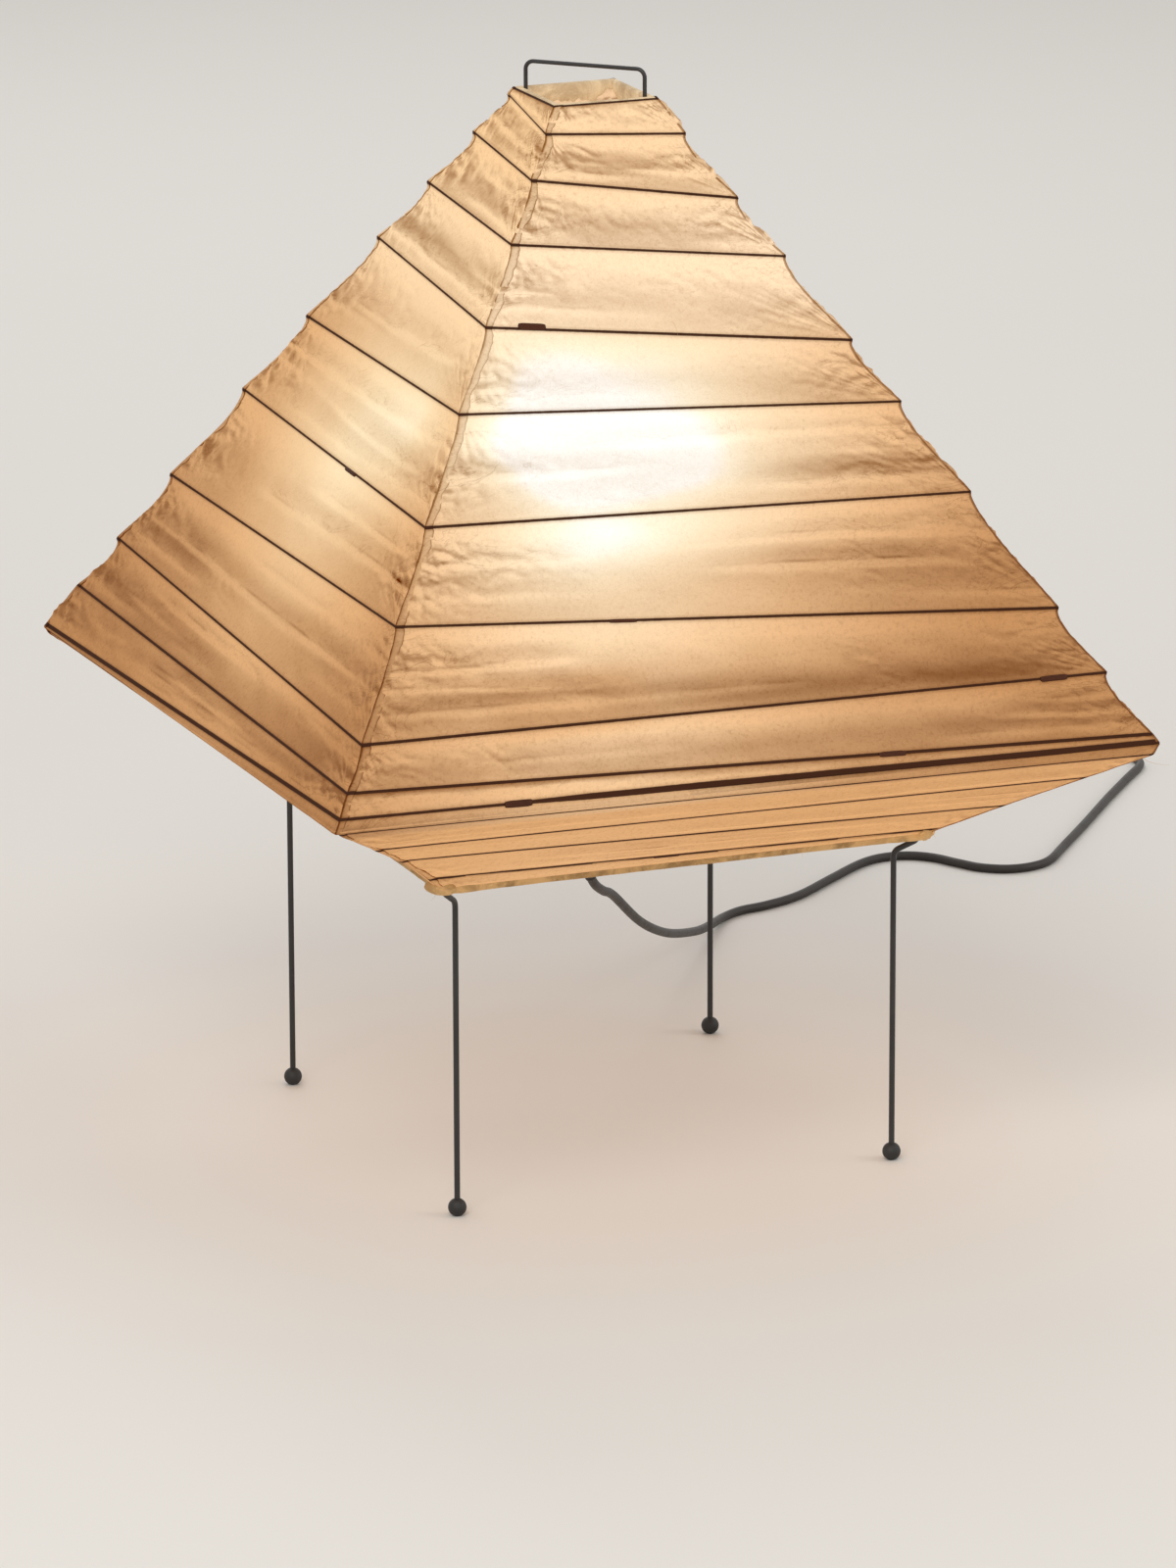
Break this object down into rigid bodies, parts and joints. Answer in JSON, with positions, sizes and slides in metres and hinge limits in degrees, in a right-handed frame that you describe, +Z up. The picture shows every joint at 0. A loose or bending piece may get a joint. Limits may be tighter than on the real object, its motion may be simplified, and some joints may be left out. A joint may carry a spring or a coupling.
{
  "type": "table lamp",
  "caption": "Square paper table lamp with a wide low rim, a wound bamboo strip inside the paper, four thin wire legs on ball feet and a lift-off shade held up by a wire stretcher.",
  "frame": {"origin": "on the floor at the middle of the four feet", "axes": "+Z up, the front of the lamp towards -Y, its four ridges on the diagonals"},
  "size_m": [0.7407, 0.7781, 0.5215],
  "materials": {
    "paper": "thin handmade paper, lit from inside",
    "hem_paper": "folded paper with loose fibres",
    "bamboo": "thin split bamboo, dark",
    "ring_wire": "plain wire inside the hem",
    "black_wire": "satin black",
    "feet": "satin black",
    "brass": "bright",
    "holder_plastic": "moulded",
    "ceramic": "unglazed",
    "nickel": "nickel plated",
    "frosted_glass": "frosted, lit",
    "insulator": "black glass",
    "cord_pvc": "satin black, round",
    "switch_plastic": "moulded, satin"
  },
  "bodies": {
    "base": {"leg_left": "black_wire", "leg_front": "black_wire", "leg_right": "black_wire", "leg_back": "black_wire", "foot_left": "feet", "foot_front": "feet", "foot_right": "feet", "foot_back": "feet", "bridge": "black_wire", "sleeve_left": "black_wire", "sleeve_right": "black_wire", "thread_tube": "brass", "lock_nuts": "brass", "cord_grip": "holder_plastic", "holder_cap": "holder_plastic", "holder_shell": "holder_plastic", "holder_core": "ceramic", "screw_shell": "brass", "centre_contact": "brass", "terminal_screws": "nickel", "cord_lead": "cord_pvc", "switch_base": "switch_plastic", "switch_cover": "switch_plastic", "switch_screws": "nickel", "cord_link": "cord_pvc", "cord_coil": "cord_pvc", "cord_tail": "cord_pvc", "plug_body": "switch_plastic", "plug_blades": "nickel"},
    "stretcher": {"stretcher": "black_wire", "stop_collars": "black_wire"},
    "shade": {"paper_left": "paper", "paper_front": "paper", "paper_right": "paper", "paper_back": "paper", "bamboo_strip": "bamboo", "strip_splices": "bamboo", "top_ring": "ring_wire", "bottom_ring": "ring_wire", "top_hem": "hem_paper", "bottom_hem": "hem_paper"},
    "bulb": {"bulb_glass": "frosted_glass", "bulb_cap": "nickel", "bulb_insulator": "insulator", "bulb_tip": "nickel"},
    "rocker": {"switch_rocker": "switch_plastic"}
  },
  "joints": [
    {"name": "stretcher_lift", "type": "slide", "parent": "base", "child": "stretcher", "axis": [0, 0, 1], "range_m": [0, 0.03]},
    {"name": "shade_lift", "type": "slide", "parent": "stretcher", "child": "shade", "axis": [0, 0, 1], "range_m": [0, 0.38]},
    {"name": "bulb_unscrew", "type": "slide", "parent": "base", "child": "bulb", "axis": [0, 0, 1], "range_m": [0, 0.03]},
    {"name": "rocker_tip", "type": "hinge", "parent": "base", "child": "rocker", "pos_m": [0.462, 0.503, 0.01355], "axis": [-0.342, 0.9397, 0], "range_deg": [0, 20]}
  ]
}
